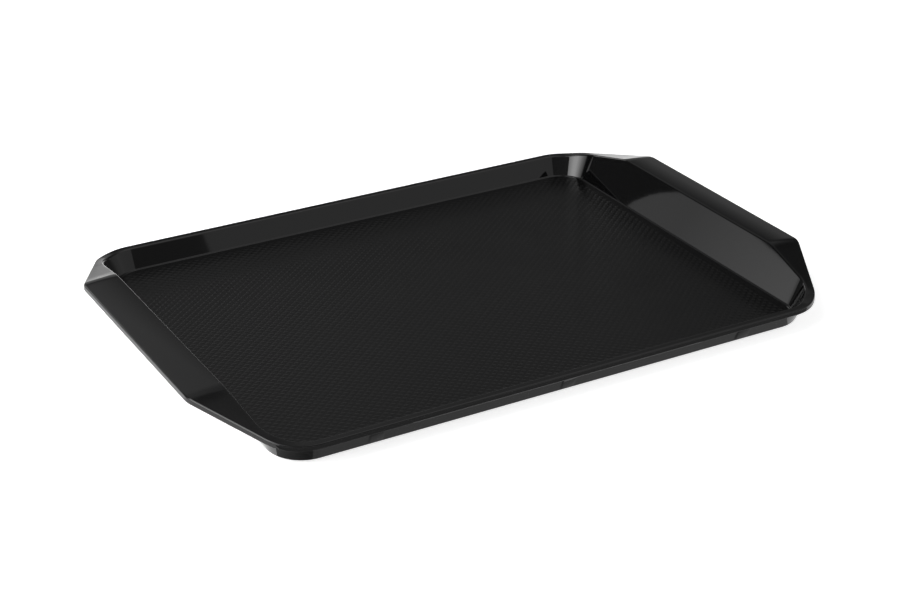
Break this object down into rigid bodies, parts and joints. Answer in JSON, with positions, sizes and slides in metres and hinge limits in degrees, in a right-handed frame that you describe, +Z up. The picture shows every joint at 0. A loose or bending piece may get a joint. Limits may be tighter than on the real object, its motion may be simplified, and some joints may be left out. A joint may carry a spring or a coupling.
{
  "type": "serving tray",
  "caption": "Shallow rectangular serving tray with raised sloping handles at both short ends, a turned-down rim, a textured anti-slip floor and small stacking lugs.",
  "frame": {"origin": "on the table under the tray's centre", "axes": "+X along the length to the right handle, +Y to the back long side, +Z up"},
  "size_m": [0.45, 0.31, 0.0315],
  "materials": {
    "tray_gloss": "black polypropylene, glossy moulded walls, rims and handles",
    "tray_floor": "black polypropylene with a fine raised diamond texture, satin"
  },
  "bodies": {
    "root": {"floor_panel": "tray_floor", "foot_ring": "tray_gloss", "front_wall": "tray_gloss", "back_wall": "tray_gloss", "left_end_wall": "tray_gloss", "right_end_wall": "tray_gloss", "front_left_wall_corner": "tray_gloss", "front_right_wall_corner": "tray_gloss", "back_left_wall_corner": "tray_gloss", "back_right_wall_corner": "tray_gloss", "front_rim": "tray_gloss", "back_rim": "tray_gloss", "left_handle": "tray_gloss", "right_handle": "tray_gloss", "front_left_rim_corner": "tray_gloss", "front_right_rim_corner": "tray_gloss", "back_left_rim_corner": "tray_gloss", "back_right_rim_corner": "tray_gloss", "front_stacking_lugs": "tray_gloss", "back_stacking_lugs": "tray_gloss"}
  },
  "joints": []
}
